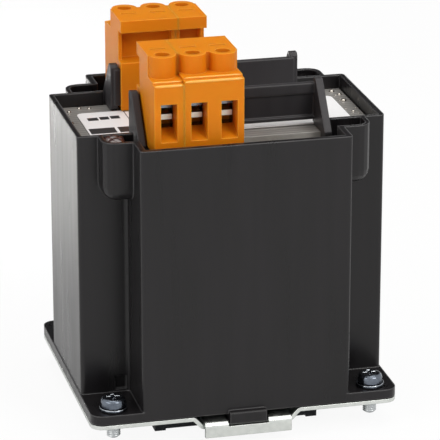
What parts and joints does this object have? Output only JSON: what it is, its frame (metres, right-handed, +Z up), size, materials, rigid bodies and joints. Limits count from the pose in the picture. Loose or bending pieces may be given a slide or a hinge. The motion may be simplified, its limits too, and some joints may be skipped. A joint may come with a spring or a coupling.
{
  "type": "safety transformer",
  "caption": "Open-top moulded transformer with laminated core, clamp terminals in two rows and a sheet base plate with a sprung rail latch.",
  "frame": {"origin": "middle of the footprint, level with the hook lips that it stands on", "axes": "+Z up out of the terminals, -Y towards the latch's pull flange, X along the rail"},
  "size_m": [0.1006, 0.0888, 0.1259],
  "materials": {
    "black_moulding": "satin moulded polyamide",
    "orange_moulding": "satin moulded polyamide",
    "zinc_sheet": "galvanised sheet",
    "blackened_steel": "phosphated and oiled",
    "spring_steel": "drawn wire",
    "core_steel": "varnished laminations",
    "bobbin_nylon": "natural glass-filled nylon",
    "enamelled_wire": "enamelled copper wire",
    "insulating_wrap": "varnished film",
    "label_card": "printed card",
    "zinc_fitting": "zinc plated steel",
    "tinned_brass": "tin plated brass",
    "lead_sleeve": "varnished glass sleeve"
  },
  "bodies": {
    "transformer": {"housing": "black_moulding", "base_plate": "zinc_sheet", "latch_spring": "spring_steel", "core_e_stack": "core_steel", "core_i_stack": "core_steel", "bobbin": "bobbin_nylon", "primary_winding": "enamelled_wire", "secondary_winding": "enamelled_wire", "coil_wrap": "insulating_wrap", "carrier_front": "black_moulding", "carrier_rear": "black_moulding", "terminal_single_front": "orange_moulding", "terminal_double_front": "orange_moulding", "terminal_single_rear": "orange_moulding", "terminal_double_rear": "orange_moulding", "contact_bar_front_1": "tinned_brass", "contact_bar_front_2": "tinned_brass", "contact_bar_front_3": "tinned_brass", "contact_bar_rear_1": "tinned_brass", "contact_bar_rear_2": "tinned_brass", "contact_bar_rear_3": "tinned_brass", "lead_front_1": "lead_sleeve", "lead_front_2": "lead_sleeve", "lead_front_3": "lead_sleeve", "lead_rear_1": "lead_sleeve", "lead_rear_2": "lead_sleeve", "lead_rear_3": "lead_sleeve", "rating_label": "label_card", "base_screw_1": "zinc_fitting", "base_screw_2": "zinc_fitting", "base_screw_3": "zinc_fitting", "base_screw_4": "zinc_fitting", "washer_1": "zinc_fitting", "washer_2": "zinc_fitting", "washer_3": "zinc_fitting", "washer_4": "zinc_fitting"},
    "latch": {"rail_latch": "zinc_sheet", "hook_bar": "blackened_steel"},
    "screw_front_1": {"clamp_screw_front_1": "zinc_fitting"},
    "screw_front_2": {"clamp_screw_front_2": "zinc_fitting"},
    "screw_front_3": {"clamp_screw_front_3": "zinc_fitting"},
    "screw_rear_1": {"clamp_screw_rear_1": "zinc_fitting"},
    "screw_rear_2": {"clamp_screw_rear_2": "zinc_fitting"},
    "screw_rear_3": {"clamp_screw_rear_3": "zinc_fitting"},
    "cage_front_1": {"clamp_cage_front_1": "zinc_fitting"},
    "cage_front_2": {"clamp_cage_front_2": "zinc_fitting"},
    "cage_front_3": {"clamp_cage_front_3": "zinc_fitting"},
    "cage_rear_1": {"clamp_cage_rear_1": "zinc_fitting"},
    "cage_rear_2": {"clamp_cage_rear_2": "zinc_fitting"},
    "cage_rear_3": {"clamp_cage_rear_3": "zinc_fitting"}
  },
  "joints": [
    {"name": "latch_slide", "type": "slide", "parent": "transformer", "child": "latch", "axis": [0, -1, 0], "range_m": [0, 0.004], "stiffness_N_per_m": 1500, "springref_m": -0.002, "deforming": ["latch_spring"]},
    {"name": "screw_turn_front_1", "type": "hinge", "parent": "transformer", "child": "screw_front_1", "pos_m": [-0.02355, -0.0268, 0.1165], "axis": [0, 0, -1], "range_deg": [0, 1801]},
    {"name": "screw_turn_front_2", "type": "hinge", "parent": "transformer", "child": "screw_front_2", "pos_m": [-0.01395, -0.0268, 0.1165], "axis": [0, 0, -1], "range_deg": [0, 1801]},
    {"name": "screw_turn_front_3", "type": "hinge", "parent": "transformer", "child": "screw_front_3", "pos_m": [-0.00435, -0.0268, 0.1165], "axis": [0, 0, -1], "range_deg": [0, 1801]},
    {"name": "screw_turn_rear_1", "type": "hinge", "parent": "transformer", "child": "screw_rear_1", "pos_m": [-0.00435, 0.0292, 0.1165], "axis": [0, 0, -1], "range_deg": [0, 1801]},
    {"name": "screw_turn_rear_2", "type": "hinge", "parent": "transformer", "child": "screw_rear_2", "pos_m": [-0.01395, 0.0292, 0.1165], "axis": [0, 0, -1], "range_deg": [0, 1801]},
    {"name": "screw_turn_rear_3", "type": "hinge", "parent": "transformer", "child": "screw_rear_3", "pos_m": [-0.02355, 0.0292, 0.1165], "axis": [0, 0, -1], "range_deg": [0, 1801]},
    {"name": "cage_rise_front_1", "type": "slide", "parent": "transformer", "child": "cage_front_1", "axis": [0, 0, 1], "range_m": [0, 0.0025]},
    {"name": "cage_rise_front_2", "type": "slide", "parent": "transformer", "child": "cage_front_2", "axis": [0, 0, 1], "range_m": [0, 0.0025]},
    {"name": "cage_rise_front_3", "type": "slide", "parent": "transformer", "child": "cage_front_3", "axis": [0, 0, 1], "range_m": [0, 0.0025]},
    {"name": "cage_rise_rear_1", "type": "slide", "parent": "transformer", "child": "cage_rear_1", "axis": [0, 0, 1], "range_m": [0, 0.0025]},
    {"name": "cage_rise_rear_2", "type": "slide", "parent": "transformer", "child": "cage_rear_2", "axis": [0, 0, 1], "range_m": [0, 0.0025]},
    {"name": "cage_rise_rear_3", "type": "slide", "parent": "transformer", "child": "cage_rear_3", "axis": [0, 0, 1], "range_m": [0, 0.0025]}
  ],
  "couplings": [
    {"joint": "screw_turn_front_1", "follows": "cage_rise_front_1", "rad_per_m": 12566},
    {"joint": "screw_turn_front_2", "follows": "cage_rise_front_2", "rad_per_m": 12566},
    {"joint": "screw_turn_front_3", "follows": "cage_rise_front_3", "rad_per_m": 12566},
    {"joint": "screw_turn_rear_1", "follows": "cage_rise_rear_1", "rad_per_m": 12566},
    {"joint": "screw_turn_rear_2", "follows": "cage_rise_rear_2", "rad_per_m": 12566},
    {"joint": "screw_turn_rear_3", "follows": "cage_rise_rear_3", "rad_per_m": 12566}
  ]
}
